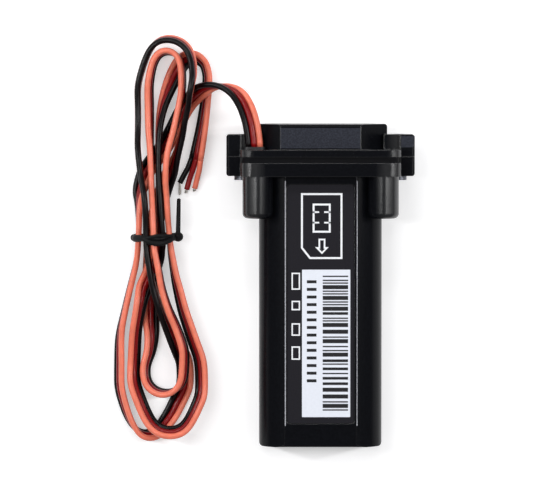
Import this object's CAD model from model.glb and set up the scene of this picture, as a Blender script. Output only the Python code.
import math

import bpy
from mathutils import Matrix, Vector


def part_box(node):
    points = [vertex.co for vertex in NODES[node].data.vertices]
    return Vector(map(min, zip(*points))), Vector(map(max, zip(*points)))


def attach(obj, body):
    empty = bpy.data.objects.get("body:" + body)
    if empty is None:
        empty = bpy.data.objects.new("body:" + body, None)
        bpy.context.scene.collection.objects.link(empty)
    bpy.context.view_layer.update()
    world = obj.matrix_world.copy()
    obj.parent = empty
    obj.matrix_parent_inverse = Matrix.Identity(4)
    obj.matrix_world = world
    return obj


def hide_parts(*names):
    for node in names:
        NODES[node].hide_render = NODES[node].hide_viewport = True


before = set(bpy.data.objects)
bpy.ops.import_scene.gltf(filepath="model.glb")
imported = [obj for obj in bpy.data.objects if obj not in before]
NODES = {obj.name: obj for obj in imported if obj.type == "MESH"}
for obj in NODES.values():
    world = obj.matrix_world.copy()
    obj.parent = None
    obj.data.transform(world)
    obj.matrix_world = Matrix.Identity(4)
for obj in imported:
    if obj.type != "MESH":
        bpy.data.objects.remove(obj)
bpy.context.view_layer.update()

MM = 0.001
scene = bpy.context.scene

# ---------------------------------------------------------------- camera
# One pixel of the photograph is PX metres at the height that the camera aims at.
PX = 0.000272
PHOTO_W, PHOTO_H = 550, 503
# The pixel that shows the origin of the frame
MID_PX = (320.5, 285.5)
AIM_Z = 0.012
CAM_RANGE = 1.2
CAM_BACK = 0.06
CAM_NEAR = 0.01
SENSOR = 36.0
aim = Vector(((PHOTO_W / 2 - MID_PX[0]) * PX, (MID_PX[1] - PHOTO_H / 2) * PX, AIM_Z))
cam_at = aim + Vector((0, CAM_BACK, CAM_RANGE))
cam_data = bpy.data.cameras.new("camera")
cam_data.sensor_width = SENSOR
cam_data.lens = SENSOR * (cam_at - aim).length / (PHOTO_W * PX)
cam_data.clip_start = CAM_NEAR
camera = bpy.data.objects.new("camera", cam_data)
scene.collection.objects.link(camera)
camera.location = cam_at
camera.rotation_euler = (-math.atan2(CAM_BACK, CAM_RANGE), 0, 0)
scene.camera = camera


def at_px(px, py):
    """Where a pixel of the photograph lies, in millimetres across and along the object."""
    return (px - MID_PX[0]) * PX / MM, (MID_PX[1] - py) * PX / MM


# ---------------------------------------------------------------- shader helpers
def linear(rgb):
    """Linear tones of an 8-bit colour."""
    return [c / 255 / 12.92 if c / 255 <= 0.04045 else ((c / 255 + 0.055) / 1.055) ** 2.4
            for c in rgb]


def calc(tree, operation, *terms):
    """Result of a math node whose terms are sockets or plain numbers."""
    node = tree.nodes.new("ShaderNodeMath")
    node.operation = operation
    for socket, term in zip(node.inputs, terms):
        if isinstance(term, (int, float)):
            socket.default_value = term
        else:
            tree.links.new(term, socket)
    return node.outputs[0]


def remap(tree, value, from_low, from_high, to_low, to_high):
    """A value moved from one range to another, and held inside it."""
    node = tree.nodes.new("ShaderNodeMapRange")
    for name, limit in (("From Min", from_low), ("From Max", from_high),
                        ("To Min", to_low), ("To Max", to_high)):
        node.inputs[name].default_value = limit
    tree.links.new(value, node.inputs["Value"])
    return node.outputs["Result"]


def object_space(tree):
    """The place in object space, whole and split into its three axes."""
    place = tree.nodes.new("ShaderNodeTexCoord").outputs["Object"]
    split = tree.nodes.new("ShaderNodeSeparateXYZ")
    tree.links.new(place, split.inputs[0])
    return place, split.outputs


def speckle(tree, place, grain, detail, rgb, spread, reach):
    """Noise at a place, and a colour that varies with it. The colour is full at reach from the
    middle of the noise."""
    noise = tree.nodes.new("ShaderNodeTexNoise")
    noise.inputs["Scale"].default_value = grain
    noise.inputs["Detail"].default_value = detail
    tree.links.new(place, noise.inputs["Vector"])
    ramp = tree.nodes.new("ShaderNodeValToRGB")
    for stop, way in zip(ramp.color_ramp.elements, (-1, 1)):
        stop.position = 0.5 + way * reach
        stop.color = [min(1, c * (1 + way * spread)) for c in linear(rgb)] + [1]
    tree.links.new(noise.outputs["Fac"], ramp.inputs["Fac"])
    return noise.outputs["Fac"], ramp.outputs["Color"]


def ray_is(tree, first, *others):
    """1 for rays of any of the named kinds, else 0."""
    rays = tree.nodes.new("ShaderNodeLightPath")
    seen = rays.outputs[first]
    for kind in others:
        seen = calc(tree, "MAXIMUM", seen, rays.outputs[kind])
    return seen


# ---------------------------------------------------------------- materials
GRAIN_DETAIL, GRAIN_REACH = 4, 0.2
LEAST_ROUGH = 0.02
COAT_ROUGH = 0.1
BEVEL_SAMPLES = 6


def material(name, rgb, rough, metallic=0.0, grain=900.0, spread=0.12, bump=0.05, bump_mm=0.02,
             specular=0.5, coat=0.0, edge=0.0, streak=None, rough_spread=0.06, subsurface=0.0):
    """A Principled surface whose tone, gloss and relief vary with noise in object space."""
    mat = bpy.data.materials.new(name)
    mat.use_nodes = True
    tree = mat.node_tree
    bsdf = tree.nodes["Principled BSDF"]
    bsdf.inputs["Metallic"].default_value = metallic
    bsdf.inputs["Specular IOR Level"].default_value = specular
    bsdf.inputs["Coat Weight"].default_value = coat
    bsdf.inputs["Coat Roughness"].default_value = COAT_ROUGH
    if subsurface:
        bsdf.inputs["Subsurface Weight"].default_value = subsurface
        bsdf.inputs["Subsurface Scale"].default_value = MM
    stretch = tree.nodes.new("ShaderNodeMapping")
    if streak:
        stretch.inputs["Scale"].default_value = streak
    tree.links.new(object_space(tree)[0], stretch.inputs["Vector"])
    noise, tone = speckle(tree, stretch.outputs["Vector"], grain, GRAIN_DETAIL, rgb, spread,
                          GRAIN_REACH)
    tree.links.new(tone, bsdf.inputs["Base Color"])
    gloss = remap(tree, noise, 0, 1, max(LEAST_ROUGH, rough - rough_spread),
                  min(1, rough + rough_spread))
    tree.links.new(gloss, bsdf.inputs["Roughness"])
    relief = tree.nodes.new("ShaderNodeBump")
    relief.inputs["Strength"].default_value = bump
    relief.inputs["Distance"].default_value = bump_mm * MM
    tree.links.new(noise, relief.inputs["Height"])
    if edge:
        round_edge = tree.nodes.new("ShaderNodeBevel")
        round_edge.samples = BEVEL_SAMPLES
        round_edge.inputs["Radius"].default_value = edge * MM
        tree.links.new(round_edge.outputs["Normal"], relief.inputs["Normal"])
    tree.links.new(relief.outputs["Normal"], bsdf.inputs["Normal"])
    return mat


FACE_SHINE, EDGE_SHINE, BOSS_SHINE = 0.06, 0.9, 0.6
# Cosine of the turn between the true and the rounded normal, on a face and on an edge
FACE_TURN, EDGE_TURN = 0.9995, 0.985
BOSS_FADE = 3
EAR_X = 21.9


def shiny_edges(mat, boss_x, boss_y):
    """Lets the moulded edges shine more than the faces, and so the bosses and flange ends from
    boss_x outwards and above boss_y. The ears beyond EAR_X stay dull."""
    tree = mat.node_tree
    bevel = next(n for n in tree.nodes if n.bl_idname == "ShaderNodeBevel")
    geometry = tree.nodes.new("ShaderNodeNewGeometry")
    turn = tree.nodes.new("ShaderNodeVectorMath")
    turn.operation = "DOT_PRODUCT"
    tree.links.new(bevel.outputs["Normal"], turn.inputs[0])
    tree.links.new(geometry.outputs["Normal"], turn.inputs[1])
    edges = remap(tree, turn.outputs["Value"], FACE_TURN, EDGE_TURN, FACE_SHINE, EDGE_SHINE)
    x, y, _ = object_space(tree)[1]
    far = calc(tree, "ABSOLUTE", x)
    fade = remap(tree, far, (boss_x - BOSS_FADE) * MM, boss_x * MM, 0, BOSS_SHINE)
    above = calc(tree, "GREATER_THAN", y, boss_y * MM)
    within = calc(tree, "LESS_THAN", far, EAR_X * MM)
    bosses = calc(tree, "MULTIPLY", fade, calc(tree, "MULTIPLY", above, within))
    shine = calc(tree, "MAXIMUM", edges, bosses)
    tree.links.new(shine, tree.nodes["Principled BSDF"].inputs["Specular IOR Level"])


SATIN_GRAIN, SATIN_DETAIL, SATIN_SPREAD, SATIN_REACH = 2600, 2, 0.25, 0.15


def satin_patches(mat, boxes, rgb, rough):
    """Spark texture of the mould inside boxes of object space, in millimetres."""
    tree = mat.node_tree
    bsdf = tree.nodes["Principled BSDF"]
    place, axes = object_space(tree)
    patches = None
    for low, high in boxes:
        inside = None
        for socket, lo, hi in zip(axes, low, high):
            near = calc(tree, "COMPARE", socket, (lo + hi) / 2 * MM, (hi - lo) / 2 * MM)
            inside = calc(tree, "MULTIPLY", inside, near) if inside else near
        patches = calc(tree, "MAXIMUM", patches, inside) if patches else inside
    tone = speckle(tree, place, SATIN_GRAIN, SATIN_DETAIL, rgb, SATIN_SPREAD, SATIN_REACH)[1]
    for name, kind in (("Base Color", "RGBA"), ("Roughness", "FLOAT")):
        mix = tree.nodes.new("ShaderNodeMix")
        mix.data_type = kind
        share, before, after = [socket for socket in mix.inputs if socket.enabled]
        tree.links.new(patches, share)
        tree.links.new(bsdf.inputs[name].links[0].from_socket, before)
        if kind == "RGBA":
            tree.links.new(tone, after)
        else:
            after.default_value = rough
        mixed = [socket for socket in mix.outputs if socket.enabled][0]
        tree.links.new(mixed, bsdf.inputs[name])


# ---------------------------------------------------------------- pieces
def dress(node, mat):
    """Gives a CAD node its material in every slot."""
    slots = NODES[node].data.materials
    if len(slots) == 0:
        slots.append(mat)
    for i in range(len(slots)):
        slots[i] = mat


def piece(name, verts, faces, mats, body, face_mats=None, is_smooth=True):
    """A mesh piece from millimetre points, riding on a body."""
    mesh = bpy.data.meshes.new(name)
    mesh.from_pydata([[c * MM for c in v] for v in verts], [], faces)
    mesh.validate()
    for mat in mats:
        mesh.materials.append(mat)
    if face_mats:
        mesh.polygons.foreach_set("material_index", face_mats)
    obj = bpy.data.objects.new(name, mesh)
    scene.collection.objects.link(obj)
    for poly in mesh.polygons:
        poly.use_smooth = is_smooth
    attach(obj, body)
    return obj


def joined(parts):
    """One list of points and one of faces from several, with the part number of each face."""
    verts, faces, index = [], [], []
    for number, (v, f) in enumerate(parts):
        base = len(verts)
        verts += v
        faces += [[i + base for i in face] for face in f]
        index += [number] * len(f)
    return verts, faces, index


# ---------------------------------------------------------------- cable
# Route of the cable, repeated from the CAD source in millimetres: a point and
# the direction across the three cores.
CORE_D = 1.55
CORE_PITCH = 1.6
# Each core reaches this far past the middle between two, so that no light shows there
WEB = 0.02
# Least height of the middle of a core
CORE_LOW = 0.9
EXIT = (-18.0, 37.7, 12.0)
LEAD = [
    (-18.4, 41.8, 12, 1, 0, 0), (-19, 44.7, 11.9, 1, 0.2, 0), (-20, 48, 11.7, 1, 0.3, 0),
    (-21.6, 51, 11.3, 0.8, 0.6, -0.2), (-23.5, 52.9, 10.7, 0.3, 0.6, -0.6),
    (-26.2, 54.1, 9.8, 0.1, 0.2, -1), (-29.2, 54.3, 8.6, -0.1, -0.3, -1),
    (-31.7, 53.4, 7.4, 0.2, -0.7, -0.7), (-33.6, 52.1, 4.5, 0.4, -0.85, -0.3),
    (-35.5, 50.2, 2.2, 0.55, -0.8, 0), (-37.1, 48, 1, 0.7, -0.6, 0),
    (-39, 44.5, 0.9, 0.85, -0.5, 0), (-41.2, 39.8, 0.9, 0.82, -0.57, 0),
]
WAIST = (-45.5, 13.5)
# Knots of the hank from its waist: a point, the way the cable runs there, the
# direction across its cores.
HANK = [
    (2.1, 23.1, 0.9, -0.6, -0.8, 0.8, -0.6, 0), (-1.4, 18.5, 0.9, -0.62, -0.78, 0.83, -0.55, 0),
    (-3.3, 14, 1.1, -0.35, -0.94, 0.9, -0.3, 0.15), (-4.1, 9, 3, -0.05, -1, 0.1, 0, 1),
    (-4.2, 0, 3.4, -0.05, -1, 0, 0, 1), (-7.3, -17.6, 3, -0.22, -0.97, 0.1, 0, 1),
    (-9.6, -36.5, 2.7, 0, -1, 0.45, 0, 0.9), (-8.6, -46, 2.7, 0.27, -0.96, 0.4, 0.1, 0.85),
    (-1.5, -55.3, 2.4, 1, 0.1, 0.15, -0.45, 0.85), (3.2, -51.6, 1.5, 0.62, 0.78, 0.6, -0.6, 0.4),
    (6.2, -46.4, 0.95, 0.45, 0.9, 0.9, -0.3, 0), (8.5, -38.3, 0.95, 0, 1, 1, 0, 0),
    (5, -28, 4, -0.36, 0.93, 0.6, 0, -0.8), (0.8, -17.6, 7, -0.3, 0.95, 0.1, 0, -1),
    (-1.1, -9.5, 7.3, -0.16, 0.98, 0, 0, -1), (-2.1, 0, 7, -0.03, 1, 0, 0, -1),
    (-2.4, 9, 7.7, -0.08, 1, 0, 0, -1), (-3.8, 18, 6, -0.12, 1, 0, 0, -1),
    (-4.3, 33, 3.6, 0, 1, 0, 0, -1), (-2.9, 46.2, 4.2, 0.3, 0.95, 0.1, 0.1, -1),
    (4.2, 53.6, 5.2, 1, 0, 0.2, 0.25, -1), (10.7, 47, 8.4, 0.05, -1, 0.25, 0.1, -1),
    (10.2, 40, 9.5, -0.2, -0.98, 0, 0, -1), (9, 33, 7.2, -0.25, -0.97, 0, 0, -1),
    (7.5, 26, 5.2, -0.25, -0.97, -0.1, 0, -1), (5.7, 20, 4.2, -0.25, -0.97, -0.3, 0, -1),
    (4, 16, 2, -0.35, -0.94, -0.9, 0, -0.4), (1.85, 9.8, 0.95, -0.25, -0.97, -1, 0, 0),
    (-0.1, 0, 1.55, -0.12, -1, -1, 0, 0), (-0.6, -6, 0.95, -0.06, -1, -1, 0, 0),
    (-1, -22, 1, 0, -1, -1, 0, 0.1), (-0.8, -30, 2.3, -0.08, -1, -0.6, 0, 0.8),
    (-2.6, -38.3, 2.5, 0, -1, -0.35, 0, 0.93), (2.8, -43.7, 4.4, 1, 0, -0.3, -0.3, 0.85),
    (8.2, -38.3, 5.5, 0, 1, -0.4, 0, 0.9), (7.2, -28, 5.9, -0.33, 0.95, -0.3, 0, 0.95),
    (3.1, -17.6, 7.2, -0.3, 0.95, -0.15, 0, 1), (1.1, -8, 8, -0.2, 0.98, -0.05, 0, 1),
    (0, 0, 7.5, -0.03, 1, 0, 0, 1), (-0.8, 19, 5.2, -0.02, 1, 0, 0, 1),
    (-1.2, 34, 4.2, 0, 1, -0.3, 0, 0.95), (-0.4, 46, 4.8, 0.2, 0.98, -0.25, 0.1, 0.95),
    (3.7, 50.3, 5.2, 1, 0, -0.1, 0.3, 0.95), (7.7, 46.2, 5.9, 0.05, -1, -0.2, 0, 0.97),
    (6.1, 31, 6.2, -0.2, -0.98, -0.1, 0, 1), (3.3, 18, 6.3, -0.05, -1, 0, 0, 1),
    (3.6, 9, 5, 0.05, -1, 0, 0, 1), (4.2, 0, 4.2, 0.1, -1, 0, 0, 1),
    (5.1, -7.5, 4.2, 0.16, -0.98, 0.2, 0, 0.95), (7.2, -17.6, 4.2, 0.22, -0.97, 0.5, 0, 0.85),
    (9.7, -26, 4.2, 0.3, -0.96, 0.64, 0, 0.77), (13, -40.5, 4.2, 0, -1, 0.64, 0, 0.77),
    (11.5, -47.5, 5, -0.4, -0.92, 0.5, -0.35, 0.77), (4.6, -54.3, 6.6, -1, 0, 0, -0.64, 0.77),
    (-3.7, -46, 4.6, -0.35, 0.94, -0.6, -0.2, 0.7), (-5.6, -36, 2.7, 0.05, 1, -0.6, 0, 0.8),
    (-3.4, -17.5, 5.5, 0.2, 1, -0.5, 0, 0.85), (-1.7, -12.5, 3.5, 0.5, 0.87, -1, 0, 0.1),
    (0.2, -7.6, 3.2, 0.4, 0.9, -1, 0, -0.05), (0.95, -3.8, 3.8, 0.3, 0.95, -0.9, 0, -0.4),
    (2.05, 0, 5.6, 0.05, 1, 0, 0, -1),
]
# Knots of the tail from the waist: a point, the direction across its cores.
TAIL = [
    (1.4, 12, 5.2, 0, 0, -1), (1.25, 19, 4.9, 0, 0, -1), (1.35, 26, 4.4, 0, 0, -1),
    (1.7, 32.5, 3.6, 0, 0, -1), (3.6, 39, 2.3, -0.6, 0.3, -0.6), (5.9, 44.2, 1.2, -0.8, 0.5, -0.1),
    (8, 47.9, 1.5, -0.6, 0.8, 0.1), (10.9, 49.6, 1.85, -0.1, 0.8, 0.5),
    (13.5, 47.9, 2.2, 0.3, 0.4, 0.85), (14.7, 44.4, 2.4, 0.35, 0.1, 0.93),
    (14.5, 40, 2.25, 0.45, 0, 0.9), (13.9, 34.5, 2.3, 0.35, 0, 0.93),
    (12.9, 27.5, 2.2, 0.5, 0, 0.85), (11.5, 20.5, 1.9, 0.8, 0, 0.6),
]
ARM, ARM_LEAST, HANK_STEP = 0.54, 0.3, 3.4
FINE = 4


def ease(t):
    """Share of the way that starts and ends gently."""
    return t * t * (3 - 2 * t)


def from_waist(row, side_at):
    """A knot given from the waist, as a point and a side."""
    return Vector((row[0] + WAIST[0], row[1] + WAIST[1], row[2])), Vector(row[side_at:])


def hank_leg(k, m):
    """The curve from one knot of the hank to the next."""
    a, d = Vector(k[:2]), Vector(m[:2])
    chord = d - a
    out, back = Vector(k[3:5]).normalized(), Vector(m[3:5]).normalized()
    b = a + out * ARM * max(abs(chord.dot(out)), ARM_LEAST * chord.length)
    c = d - back * ARM * max(abs(chord.dot(back)), ARM_LEAST * chord.length)
    steps = FINE * math.ceil(chord.length / HANK_STEP)
    rows = []
    for i in range(steps):
        t = i / steps
        e = ease(t)
        p = a * (1 - t) ** 3 + b * 3 * t * (1 - t) ** 2 + c * 3 * t * t * (1 - t) + d * t ** 3
        side = Vector(k[5:8]) * (1 - e) + Vector(m[5:8]) * e
        rows.append((Vector((p[0] + WAIST[0], p[1] + WAIST[1], k[2] + (m[2] - k[2]) * e)), side))
    return rows


def spline_rows(rows, steps):
    """Smooth curve through rows of a point and a side."""
    out = []
    for i in range(len(rows) - 1):
        b, c = rows[i][0], rows[i + 1][0]
        a = rows[i - 1][0] if i else b * 2 - c
        d = rows[i + 2][0] if i + 2 < len(rows) else c * 2 - b
        for k in range(steps):
            t = k / steps
            p = 0.5 * (2 * b + (c - a) * t + (2 * a - 5 * b + 4 * c - d) * t * t
                       + (3 * b - 3 * c + d - a) * t ** 3)
            out.append((p, rows[i][1] * (1 - t) + rows[i + 1][1] * t))
    out.append(rows[-1])
    return out


def frames_of(rows, first_tan=None):
    """Point, way and side of each row, with the side square to the way."""
    out = []
    for i, (p, side) in enumerate(rows):
        tan = (rows[min(i + 1, len(rows) - 1)][0] - rows[max(i - 1, 0)][0]).normalized()
        if i == 0 and first_tan:
            tan = Vector(first_tan)
        out.append((p, tan, (side - tan * side.dot(tan)).normalized()))
    return out


DRAW_IN, LET_OUT = 0.5, -0.52
SWELL_ROUNDS = 50
PLAIN_ROUNDS = 8
LEAST_BEND = 3.0
BEND_ROUNDS, BEND_REACH = 400, 3
LIFT_ROUNDS, BLEND_ROUNDS = 30, 4
TINY = 1e-9


def drawn(pts, i, share):
    """A point moved by a share of its way to the middle of its neighbours."""
    return pts[i].lerp((pts[i - 1] + pts[i + 1]) / 2, share)


def evened(pts, sides, fixed):
    """Evens out the corners between the knots. Each round draws in and then lets out, so that
    loops keep their size."""
    last = len(pts) - 1
    for share in (DRAW_IN, LET_OUT) * SWELL_ROUNDS + (DRAW_IN,) * PLAIN_ROUNDS:
        pts = [drawn(pts, i, share) if fixed <= i < last else p for i, p in enumerate(pts)]
        if share > 0:
            sides = [s * 0.5 + (sides[i - 1] + sides[i + 1]) * 0.25 if fixed <= i < last else s
                     for i, s in enumerate(sides)]
    return pts, sides


def bend_at(pts, i):
    """Radius of the circle through a point and its two neighbours."""
    u, v, w = pts[i] - pts[i - 1], pts[i + 1] - pts[i], pts[i + 1] - pts[i - 1]
    return u.length * v.length * w.length / max(TINY, 2 * u.cross(w).length)


def loosened(pts, fixed):
    """Draws in only the corners that are still too tight for the cores."""
    last = len(pts) - 1
    for _ in range(BEND_ROUNDS):
        tight = {j for i in range(fixed + 1, last) if bend_at(pts, i) < LEAST_BEND
                 for j in range(i - BEND_REACH, i + BEND_REACH + 1) if fixed < j < last}
        if not tight:
            break
        pts = [drawn(pts, i, DRAW_IN) if i in tight else p for i, p in enumerate(pts)]
    return pts


def lifted(pts, sides, fixed):
    """Lifts the cable where a core would sink in the surface, and its neighbours with it."""
    last = len(pts) - 1
    need = [max(0.0, CORE_LOW + CORE_PITCH * abs(flat.z) - p.z)
            for p, _, flat in frames_of(list(zip(pts, sides)))]
    need[0] = 0.0
    lift = need
    for _ in range(LIFT_ROUNDS):
        lift = [max(n, (lift[i - 1] + lift[i + 1]) / 2) if 0 < i < last else n
                for i, n in enumerate(need)]
    for _ in range(BLEND_ROUNDS):
        lift = [v / 2 + (lift[i - 1] + lift[i + 1]) / 4 if fixed < i < last else v
                for i, v in enumerate(lift)]
    return [Vector((p.x, p.y, p.z + v)) for p, v in zip(pts, lift)]


def relaxed(rows, fixed):
    """The cable as it lies, evened out behind its first fixed rows."""
    pts, sides = evened(*zip(*rows), fixed)
    pts = loosened(pts, fixed)
    return list(zip(lifted(pts, sides, fixed), sides))


def tube(frames, radius, sides, offset=0.0, closed=False, flatten=1.0):
    """Round or flattened tube along frames, with its ends closed."""
    verts, faces = [], []
    count = len(frames)
    for i, (p, tan, side) in enumerate(frames):
        up = tan.cross(side)
        r = radius(i / (count - 1)) if callable(radius) else radius
        for k in range(sides):
            a = 2 * math.pi * k / sides
            verts.append(tuple(p + side * (offset + r * math.cos(a))
                               + up * (r * flatten * math.sin(a))))
    for i in range(count if closed else count - 1):
        j = (i + 1) % count
        for k in range(sides):
            m = (k + 1) % sides
            faces.append([i * sides + k, i * sides + m, j * sides + m, j * sides + k])
    if not closed:
        faces.append(list(range(sides - 1, -1, -1)))
        faces.append([(count - 1) * sides + k for k in range(sides)])
    return verts, faces


core_black = material("core_black", (9, 4, 6), 0.3, grain=600, spread=0.2, bump=0.01,
                      specular=0.18)
core_red = material("core_red", (130, 12, 16), 0.3, grain=500, spread=0.1, bump=0.01,
                    specular=0.3, subsurface=0.05)
core_orange = material("core_orange", (233, 123, 98), 0.32, grain=500, spread=0.08, bump=0.01,
                       specular=0.35, subsurface=0.06)
CORE_MATS = [core_black, core_red, core_orange]
CORE_SIDES = 14
# Rows at the exit that stay as they are, and the way out of it
STILL_ROWS = 3
EXIT_WAY = (0, 1, 0)

lead_rows = [(Vector(EXIT), Vector((1, 0, 0)))] + [(Vector(r[:3]), Vector(r[3:])) for r in LEAD]
hank_rows = [row for k, m in zip(HANK, HANK[1:]) for row in hank_leg(k, m)]
hank_rows.append(from_waist(HANK[-1], 5))
tail_rows = [from_waist(row, 3) for row in TAIL]
cable_rows = (spline_rows(lead_rows + [hank_rows[0]], FINE)[:-1] + hank_rows
              + spline_rows([hank_rows[-1]] + tail_rows, FINE)[1:])
cable_rows = relaxed(cable_rows, STILL_ROWS)
cable_frames = frames_of(cable_rows, EXIT_WAY)
verts, faces, index = joined([tube(cable_frames, CORE_PITCH / 2 + WEB, CORE_SIDES,
                                   (k - 1) * CORE_PITCH) for k in range(3)])
flat_cable = piece("flat_cable", verts, faces, CORE_MATS, "cap_body", index)
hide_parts("cable_lead", "cable_hank", "cable_tail")

# The three parted ends, each from its core at the end of the flat cable
CORE_ENDS = [
    [(-36.3, 31.6, 0.9), (-37.4, 29.6, 0.85), (-38.5, 27.5, 0.85)],
    [(-34.8, 31.4, 1.4), (-35.8, 28.6, 0.95), (-36.6, 25.7, 0.85)],
    [(-33.1, 31.2, 2.2), (-33.7, 28.8, 1.3), (-34.4, 26, 0.85)],
]
END_STEPS = 6
TIP_LENS = [3.4, 1.2, 1.0]
TIP_WAYS = [(0.02, -1, 0), None, None]
# The bare strands of a tip lie round one in the middle, and turn and fan out
TIP_STRANDS, STRAND_SIDES, STRAND_STEPS = 7, 6, 8
STRAND_R, STRAND_REACH = 0.12, 0.24
STRAND_TURN, FAN_OUT = 2.2, 0.5
STRAND_SUNK = 0.1
SHORT_SHARE = 0.1


def strand(s, tip, tan, side, length):
    """One bare strand from the end of its core."""
    up = tan.cross(side)
    start = 2 * math.pi * s / (TIP_STRANDS - 1)
    reach = 0.0 if s == TIP_STRANDS - 1 else STRAND_REACH
    own_length = length * (1 - SHORT_SHARE + SHORT_SHARE * (s * 3 % 4) / 3)
    line = []
    for i in range(STRAND_STEPS + 1):
        t = i / STRAND_STEPS
        a = start + STRAND_TURN * t
        fan = reach * (1 + FAN_OUT * t * (s * 5 % 3 - 1))
        p = tip + tan * (own_length * t - STRAND_SUNK)
        line.append((p + side * fan * math.cos(a) + up * fan * math.sin(a), side))
    return tube(frames_of(line), STRAND_R, STRAND_SIDES)


tip_tin = material("tip_tin", (196, 192, 186), 0.3, metallic=1.0, grain=2500, spread=0.15,
                   bump=0.2)
end_point, end_tan, end_side = cable_frames[-1]
end_pieces, tip_parts = [], []
for k, name in enumerate(("black", "red", "orange")):
    rows = [(end_point + end_side * (k - 1) * CORE_PITCH, end_side)]
    rows += [(Vector(p), end_side) for p in CORE_ENDS[k]]
    frames = frames_of(spline_rows(rows, END_STEPS), tuple(end_tan))
    verts, faces = tube(frames, CORE_D / 2, CORE_SIDES)
    end_pieces.append(piece("core_end_" + name, verts, faces, [CORE_MATS[k]], "cap_body"))
    tip, tip_tan, tip_side = frames[-1]
    if TIP_WAYS[k]:
        tip_tan = Vector(TIP_WAYS[k]).normalized()
        tip_side = (tip_side - tip_tan * tip_side.dot(tip_tan)).normalized()
    tip_parts += [strand(s, tip, tip_tan, tip_side, TIP_LENS[k]) for s in range(TIP_STRANDS)]
verts, faces, index = joined(tip_parts)
tips = piece("bare_strands", verts, faces, [tip_tin], "cap_body")
for obj in end_pieces:
    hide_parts("core_ends")
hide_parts("bare_tips")

# ---------------------------------------------------------------- twist tie
tie_black = material("tie_black", (12, 12, 14), 0.5, grain=700, spread=0.25, bump=0.1,
                     specular=0.15)
# The photograph shows the tie a little nearer to the foot than the waist
TIE_Y = WAIST[1] - 0.55
TIE_MID_Z = 5.0
TIE_HALF, TIE_UP, TIE_DOWN = 5.1, 5.0, 4.34
# Corners cut off the outline: both upper ones, lower right, lower left
TIE_CUTS = (3.0, 1.45, 0.6)
CUT_GROWTH = 2 - math.sqrt(2)
TIE_ROUND = 0.15
TIE_ROUNDS = 2
BAND_THICK = 0.62
BAND_SIDES = 12
BAND_STEP = 0.8
TIE_LOW = 0.01


def tie_loop(grow):
    """Rounded outline of the band across and up, clockwise from the top left."""
    w, u, d = TIE_HALF + grow, TIE_UP + grow, TIE_DOWN + grow
    top, right, left = [c + grow * CUT_GROWTH for c in TIE_CUTS]
    corners = [(-w + top, u), (w - top, u), (w, u - top), (w, -d + right), (w - right, -d),
               (-w + left, -d), (-w, -d + left), (-w, u - top)]
    for _ in range(TIE_ROUNDS):
        cut = []
        for i, a in enumerate(corners):
            b = corners[(i + 1) % len(corners)]
            for share in (TIE_ROUND, 1 - TIE_ROUND):
                cut.append((a[0] * (1 - share) + b[0] * share, a[1] * (1 - share) + b[1] * share))
        corners = cut
    return corners


def tie_band(drift, width, grow):
    """Closed band round the waist whose y drifts across the hank."""
    loop = tie_loop(grow + BAND_THICK / 2)
    fine = []
    for i, a in enumerate(loop):
        b = loop[(i + 1) % len(loop)]
        n = max(1, round(math.hypot(b[0] - a[0], b[1] - a[1]) / BAND_STEP))
        fine += [(a[0] + (b[0] - a[0]) * k / n, a[1] + (b[1] - a[1]) * k / n) for k in range(n)]
    frames = []
    for i, (x, z) in enumerate(fine):
        after, before = fine[(i + 1) % len(fine)], fine[i - 1]
        tan = Vector((after[0] - before[0], 0, after[1] - before[1])).normalized()
        place = Vector((WAIST[0] + x, TIE_Y + drift(x / TIE_HALF, z),
                        max(BAND_THICK / 2 + TIE_LOW, TIE_MID_Z + z)))
        frames.append((place, tan, Vector((0, 1, 0))))
    return tube(frames, width / 2, BAND_SIDES, closed=True, flatten=BAND_THICK / width)


def ball(centre, radius, stretch=(1, 1, 1)):
    """Round lump, built of rings from pole to pole."""
    rings, sides = 10, 16
    verts = [tuple(centre + Vector((0, -radius * stretch[1], 0)))]
    for i in range(1, rings):
        a = math.pi * i / rings
        for k in range(sides):
            b = 2 * math.pi * k / sides
            verts.append(tuple(centre + Vector((radius * stretch[0] * math.sin(a) * math.cos(b),
                                                -radius * stretch[1] * math.cos(a),
                                                radius * stretch[2] * math.sin(a) * math.sin(b)))))
    verts.append(tuple(centre + Vector((0, radius * stretch[1], 0))))
    faces = [[0, 1 + k, 1 + (k + 1) % sides] for k in range(sides)]
    for i in range(rings - 2):
        r = 1 + i * sides
        faces += [[r + k, r + sides + k, r + sides + (k + 1) % sides, r + (k + 1) % sides]
                  for k in range(sides)]
    r, last = 1 + (rings - 2) * sides, len(verts) - 1
    faces += [[r + k, last, r + (k + 1) % sides] for k in range(sides)]
    return verts, faces


# Turns of the strands on the knot
TURNS, TURN_STEPS, TURN_SIDES = 3, 24, 10
TURN_R, TURN_THICK, TURN_TILT = 1.05, 0.4, 0.3


def knot_turn(knot, tilt):
    """One turn of a strand round the knot."""
    ways = []
    for i in range(TURN_STEPS):
        a = 2 * math.pi * i / TURN_STEPS
        ways.append(Vector((math.cos(a), math.sin(a) * math.cos(tilt),
                            math.sin(a) * math.sin(tilt))))
    places = [knot + way * TURN_R for way in ways]
    frames = []
    for i, (place, way) in enumerate(zip(places, ways)):
        tan = (places[(i + 1) % TURN_STEPS] - places[i - 1]).normalized()
        frames.append((place, tan, way))
    return tube(frames, TURN_THICK, TURN_SIDES, closed=True)


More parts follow.
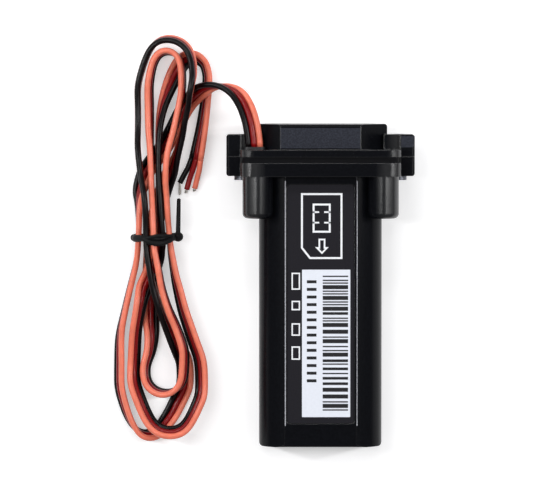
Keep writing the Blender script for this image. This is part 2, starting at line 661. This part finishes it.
# Two strands cross over the hank, and a wider band sags towards the foot in front of it.
# Each has its drift in y from the left of the hank, s = -1, to its right, s = 1, then its
# width and how far it stands off the outline.
BAND_LEAN = 0.3
WAVE, WAVE_PACE = 0.2, 5.2
STRAND_OFF, STRAND_W = (0.22, -0.3), 1.1
STRAND_GROW = (0.2, 0.1)
LOW_BAND_OFF, LOW_BAND_SAG, LOW_BAND_W, LOW_BAND_GROW = -0.3, 1.35, 1.45, 0.38
SAG_MIDDLE, SAG_PACE = 0.25, 1.5
LOW_BAND_UNDER = -0.35

parts = [
    tie_band(lambda s, z: STRAND_OFF[0] + BAND_LEAN * s + WAVE * math.sin(WAVE_PACE * s),
             STRAND_W, STRAND_GROW[0]),
    tie_band(lambda s, z: STRAND_OFF[1] + BAND_LEAN * s - WAVE * math.sin(WAVE_PACE * s),
             STRAND_W, STRAND_GROW[1]),
    tie_band(lambda s, z: LOW_BAND_OFF - LOW_BAND_SAG
             * max(0.0, 1 - (s - SAG_MIDDLE) ** 2 * SAG_PACE) if z > 0 else LOW_BAND_UNDER,
             LOW_BAND_W, LOW_BAND_GROW),
]

# Free tail, a smooth rod that narrows towards its end
KNOT_OUT = 1.5
FREE_WAY = Vector((0.2, 10.2, -0.6))
FREE_STEPS, FREE_SIDES = 12, 12
FREE_R, FREE_NARROWS = 0.66, 0.12
FREE_CAP = (1, 0.5, 1)
knot = Vector((WAIST[0] + TIE_HALF + KNOT_OUT, TIE_Y, TIE_MID_Z))
rod = [(knot + FREE_WAY * (i / FREE_STEPS), Vector((1, 0, 0))) for i in range(FREE_STEPS + 1)]
parts.append(tube(frames_of(rod), lambda t: FREE_R - FREE_NARROWS * t, FREE_SIDES))
parts.append(ball(rod[-1][0], FREE_R - FREE_NARROWS, FREE_CAP))

# Bend of the strip at the far side, and the knot with the turns of the strands on it
BEND_OUT, BEND_DOWN, BEND_R = 0.72, 0.25, 0.58
BEND_STRETCH = (1, 1.5, 1.8)
KNOT_R = 1.32
parts.append(ball(knot, KNOT_R))
parts.append(ball(Vector((WAIST[0] - TIE_HALF - BEND_OUT, TIE_Y - BEND_DOWN, TIE_MID_Z)),
                  BEND_R, BEND_STRETCH))
parts += [knot_turn(knot, math.pi * n / TURNS + TURN_TILT) for n in range(TURNS)]
verts, faces, index = joined(parts)
tie = piece("twist_tie", verts, faces, [tie_black], "cap_body")
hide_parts("hank_tie")

# ---------------------------------------------------------------- CAD nodes
# What the two moulded blacks share
MOULDED = dict(grain=1400, spread=0.2, bump=0.06, bump_mm=0.005, specular=0.12, edge=0.22,
               rough_spread=0.04)
# Burnished long edges of the front facet
FACET_LINES = [((-9.7, -38, 10), (-9.45, 28.6, 19)), ((9.8, -38, 10), (10.0, 28.6, 19))]
# Front of the cap's block, and the outer part of its right tower
CAP_SATIN = [((-10.9, 37.4, 14.5), (10.8, 42.9, 18)), ((21.9, 37.6, 3), (25.4, 40.7, 18))]
case_black = material("case_black", (11, 12, 16), 0.24, **MOULDED)
shiny_edges(case_black, boss_x=17.5, boss_y=18.2)
satin_patches(case_black, FACET_LINES, (168, 169, 176), 0.34)
dress("housing", case_black)
cap_black = material("cap_black", (11, 12, 16), 0.26, **MOULDED)
shiny_edges(cap_black, boss_x=20.5, boss_y=30)
satin_patches(cap_black, CAP_SATIN, (46, 48, 56), 0.5)
dress("cap", cap_black)
# Material, tone, roughness and what else sets it apart, for each of the other nodes
LOOKS = {
    "cap_seal": ("seal_rubber", (13, 13, 16), 0.6, dict(grain=800, bump=0.1, specular=0.06)),
    "cable_plug": ("plug_rubber", (22, 22, 25), 0.5, dict(grain=900, bump=0.2)),
    "screw_inserts": ("insert_brass", (188, 152, 84), 0.3, dict(metallic=1, grain=1500)),
    "cap_screws": ("screw_steel", (120, 121, 124), 0.3, dict(metallic=1, grain=1500, edge=0.1)),
    "ear_sleeves": ("sleeve_metal", (92, 94, 100), 0.3,
        dict(metallic=1, grain=1200, spread=0.06, streak=(1, 8, 1))),
    "front_label": ("label_film", (32, 31, 36), 0.5,
        dict(grain=2600, spread=0.1, bump=0.08, specular=0.08)),
    "id_sticker": ("sticker_paper", (225, 229, 239), 0.6,
        dict(grain=1500, spread=0.02, bump=0.06, specular=0.3)),
    "cap_frame": ("frame_plastic", (17, 18, 22), 0.4, dict(grain=1400, spread=0.2, bump=0.1)),
    "main_board": ("board_laminate", (28, 92, 58), 0.35, dict(grain=700, spread=0.15, coat=0.4)),
    "satellite_antenna": ("antenna_ceramic", (182, 158, 118), 0.6, dict(grain=1800, spread=0.1)),
    "satellite_receiver": ("receiver_can", (182, 184, 188), 0.42,
        dict(metallic=1, grain=1600, bump=0.01)),
    "radio_module": ("module_laminate", (36, 104, 66), 0.4, dict(grain=900, coat=0.3)),
    "radio_shield": ("shield_steel", (190, 192, 196), 0.42,
        dict(metallic=1, grain=1600, spread=0.08, bump=0.01)),
    "mobile_antenna": ("antenna_metal", (202, 176, 126), 0.3, dict(metallic=1, grain=1300)),
    "battery": ("battery_foil", (176, 180, 188), 0.34,
        dict(metallic=0.9, grain=380, bump=0.4, bump_mm=0.08)),
    "battery_tape": ("tape_foam", (214, 214, 208), 0.8, dict(grain=1800, bump=0.4)),
    "battery_leads": ("battery_lead_plastic", (190, 32, 36), 0.34, dict(grain=800)),
    "battery_plug": ("plug_plastic", (236, 232, 220), 0.4, dict(grain=1000)),
    "battery_header": ("header_plastic", (226, 220, 204), 0.42, dict(grain=1000)),
    "sim_socket": ("socket_steel", (188, 191, 198), 0.42, dict(metallic=1, grain=1400, bump=0.01)),
    "sim_card": ("card_plastic", (226, 228, 232), 0.36, dict(grain=1200, spread=0.04)),
    "switch_case": ("switch_steel", (150, 152, 156), 0.42, dict(metallic=1, grain=1300, bump=0.01)),
    "switch_slider": ("slider_plastic", (24, 24, 26), 0.4, dict(grain=1200)),
    "capacitor": ("can_aluminium", (200, 202, 208), 0.4, dict(metallic=1, grain=1100, bump=0.01)),
    "choke": ("choke_ferrite", (62, 63, 70), 0.6, dict(grain=1500, bump=0.3)),
    "board_chips": ("chip_resin", (32, 33, 36), 0.5, dict(grain=1500)),
    "status_lights": ("light_resin", (226, 236, 214), 0.2, dict(grain=900, coat=0.5)),
}
for node, (name, rgb, rough, extra) in LOOKS.items():
    dress(node, material(name, rgb, rough, **extra))
dress("inner_leads", core_red)

# ---------------------------------------------------------------- print on the label
label_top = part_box("front_label")[1].z / MM
sticker_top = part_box("id_sticker")[1].z / MM
ink_white = material("ink_white", (236, 238, 242), 0.5, grain=2000, spread=0.04, specular=0.3)
ink_black = material("ink_black", (24, 24, 28), 0.5, grain=2000, spread=0.15, specular=0.3)
INK = 0.03
INK_SUNK = 0.02
LEAST_MITRE = 0.2


def plate(points, z):
    """Flat printed shape with its outline in the plane of the label."""
    n = len(points)
    verts = [(x, y, z - INK_SUNK) for x, y in points] + [(x, y, z + INK) for x, y in points]
    faces = [list(range(n - 1, -1, -1)), list(range(n, 2 * n))]
    faces += [[i, (i + 1) % n, (i + 1) % n + n, i + n] for i in range(n)]
    return verts, faces


def outline(points, width, z):
    """Closed printed line along the points, drawn inwards by its width."""
    n = len(points)
    inner = []
    for i in range(n):
        a, b, c = Vector(points[i - 1]), Vector(points[i]), Vector(points[(i + 1) % n])
        u, v = (b - a).normalized(), (c - b).normalized()
        nu, nv = Vector((-u.y, u.x)), Vector((-v.y, v.x))
        mitre = (nu + nv) / max(LEAST_MITRE, 1 + nu.dot(nv))
        inner.append(tuple(b + mitre * width))
    verts = [(x, y, height) for height in (z - INK_SUNK, z + INK)
             for ring in (points, inner) for x, y in ring]
    faces = []
    for i in range(n):
        j = (i + 1) % n
        faces += [[i, n + i, n + j, j], [2 * n + i, 2 * n + j, 3 * n + j, 3 * n + i],
                  [i, j, 2 * n + j, 2 * n + i], [n + i, 3 * n + i, 3 * n + j, n + j]]
    return verts, faces


def px_box(px0, py0, px1, py1):
    """Corners of the box between two pixels, upper left and lower right."""
    (x0, y0), (x1, y1) = at_px(px0, py1), at_px(px1, py0)
    return [(x0, y0), (x1, y0), (x1, y1), (x0, y1)]


LINE_W = 0.52
ARROW_LINE, MARK_LINE = 0.85 * LINE_W, 0.7 * LINE_W
CARD_PX = [(309.5, 258.3), (342.2, 258.3), (342.2, 192.6), (300.9, 192.6), (300.9, 247.5)]
ARROW_PX = [(321.8, 253.5), (328.6, 246.4), (325.2, 246.4), (325.2, 238.0), (318.4, 238.0),
            (318.4, 246.4), (315.0, 246.4)]
# Contact field of a card in place of lettering, with two short bars from either side
FIELD_PX = (312.5, 203.0, 330.5, 232.0)
FIELD_BARS_PX = ((312.5, 319.0), (324.0, 330.5))
FIELD_ROWS_PX, FIELD_BAR_HALF = (211.5, 222.0), 0.8
# Four plain marks beside the sticker
MARK_X0, MARK_X1 = 291.5, 300.0
MARK_ROWS_PX = ((272.0, 289.0), (300.0, 309.5), (322.5, 335.0), (345.6, 359.0))
parts = [outline([at_px(px, py) for px, py in CARD_PX], LINE_W, label_top),
         outline(px_box(*FIELD_PX), LINE_W, label_top)]
for py in FIELD_ROWS_PX:
    for px0, px1 in FIELD_BARS_PX:
        parts.append(plate(px_box(px0, py - FIELD_BAR_HALF, px1, py + FIELD_BAR_HALF), label_top))
parts.append(outline([at_px(px, py) for px, py in ARROW_PX], ARROW_LINE, label_top))
for py0, py1 in MARK_ROWS_PX:
    parts.append(outline(px_box(MARK_X0, py0, MARK_X1, py1), MARK_LINE, label_top))
verts, faces, index = joined(parts)
piece("label_print", verts, faces, [ink_white], "housing_body", is_smooth=False)

# Bars of made-up widths and a column of dashes
BAR_X0, BAR_X1 = 322.6, 347.9
BAR_Y0, BAR_Y1 = 274.9, 410.6
BAR_UNIT = 1.35
BAR_SEED = 7
BAR_WIDTHS, SPACE_WIDTHS = (1, 2, 3, 1, 3, 2), (1, 2, 1, 2, 2, 1)
DASHES = 14
DASH_X0, DASH_X1 = 306.8, 316.4
DASH_Y0, DASH_Y1 = 281.0, 380.0
DASH_HALF = 1.5


def draws(seed):
    """Endless row of repeatable numbers."""
    while True:
        seed = (seed * 73 + 41) % 997
        yield seed


parts = []
draw = draws(BAR_SEED)
y = BAR_Y0
while y < BAR_Y1 - BAR_UNIT:
    bar = min(BAR_UNIT * BAR_WIDTHS[next(draw) % len(BAR_WIDTHS)], BAR_Y1 - y)
    space = BAR_UNIT * SPACE_WIDTHS[next(draw) % len(SPACE_WIDTHS)]
    parts.append(plate(px_box(BAR_X0, y, BAR_X1, y + bar), sticker_top))
    y += bar + space
for i in range(DASHES):
    y = DASH_Y0 + (DASH_Y1 - DASH_Y0) * i / (DASHES - 1)
    parts.append(plate(px_box(DASH_X0, y - DASH_HALF, DASH_X1, y + DASH_HALF), sticker_top))
verts, faces, index = joined(parts)
piece("sticker_print", verts, faces, [ink_black], "housing_body",
      is_smooth=False)

# ---------------------------------------------------------------- floor
FLOOR = 1.6
FLOOR_Z = -0.0002
FLOOR_TONE = (0.82, 0.82, 0.83, 1)
FLOOR_ROUGH, FLOOR_SHINE = 0.9, 0.1
FLOOR_GLOW = 0.42
WHITE = (1, 1, 1, 1)
floor_mesh = bpy.data.meshes.new("floor")
floor_mesh.from_pydata([(-FLOOR, -FLOOR, 0), (FLOOR, -FLOOR, 0), (FLOOR, FLOOR, 0),
                        (-FLOOR, FLOOR, 0)], [], [[0, 1, 2, 3]])
floor = bpy.data.objects.new("floor", floor_mesh)
scene.collection.objects.link(floor)
floor.location.z = FLOOR_Z
floor_mat = bpy.data.materials.new("floor_white")
floor_mat.use_nodes = True
tree = floor_mat.node_tree
bsdf = tree.nodes["Principled BSDF"]
bsdf.inputs["Base Color"].default_value = FLOOR_TONE
bsdf.inputs["Roughness"].default_value = FLOOR_ROUGH
bsdf.inputs["Specular IOR Level"].default_value = FLOOR_SHINE
glow = tree.nodes.new("ShaderNodeEmission")
glow.inputs["Color"].default_value = WHITE
seen = ray_is(tree, "Is Camera Ray", "Is Glossy Ray", "Is Transmission Ray")
tree.links.new(calc(tree, "MULTIPLY", seen, FLOOR_GLOW), glow.inputs["Strength"])
add = tree.nodes.new("ShaderNodeAddShader")
tree.links.new(bsdf.outputs[0], add.inputs[0])
tree.links.new(glow.outputs[0], add.inputs[1])
tree.links.new(add.outputs[0], tree.nodes["Material Output"].inputs["Surface"])
floor_mesh.materials.append(floor_mat)

# ---------------------------------------------------------------- world and lamps
WORLD_LIGHT, BACKDROP = 0.3, 1.0
world = bpy.data.worlds.new("studio")
scene.world = world
world.use_nodes = True
tree = world.node_tree
plain = tree.nodes["Background"]
plain.inputs["Color"].default_value = WHITE
plain.inputs["Strength"].default_value = WORLD_LIGHT
white = tree.nodes.new("ShaderNodeBackground")
white.inputs["Color"].default_value = WHITE
white.inputs["Strength"].default_value = BACKDROP
mix = tree.nodes.new("ShaderNodeMixShader")
tree.links.new(ray_is(tree, "Is Camera Ray", "Is Transmission Ray"), mix.inputs["Fac"])
tree.links.new(plain.outputs[0], mix.inputs[1])
tree.links.new(white.outputs[0], mix.inputs[2])
tree.links.new(mix.outputs[0], tree.nodes["World Output"].inputs["Surface"])

# Name, place, size and watts of each lamp. All point at the origin.
LAMPS = (
    ("lamp_left", (-0.42, 0.12, 0.5), (0.03, 0.7), 2.3),
    ("lamp_right", (0.46, 0.1, 0.46), (0.03, 0.7), 2.05),
    ("lamp_head", (-0.1, 0.6, 0.55), (0.7, 0.1), 1.95),
)
for name, place, size, watts in LAMPS:
    lamp_data = bpy.data.lights.new(name, "AREA")
    lamp_data.shape = "RECTANGLE"
    lamp_data.size, lamp_data.size_y = size
    lamp_data.energy = watts
    lamp = bpy.data.objects.new(name, lamp_data)
    scene.collection.objects.link(lamp)
    lamp.location = place
    lamp.rotation_euler = (-Vector(place)).to_track_quat("-Z", "Y").to_euler()

scene.view_settings.view_transform = "Standard"
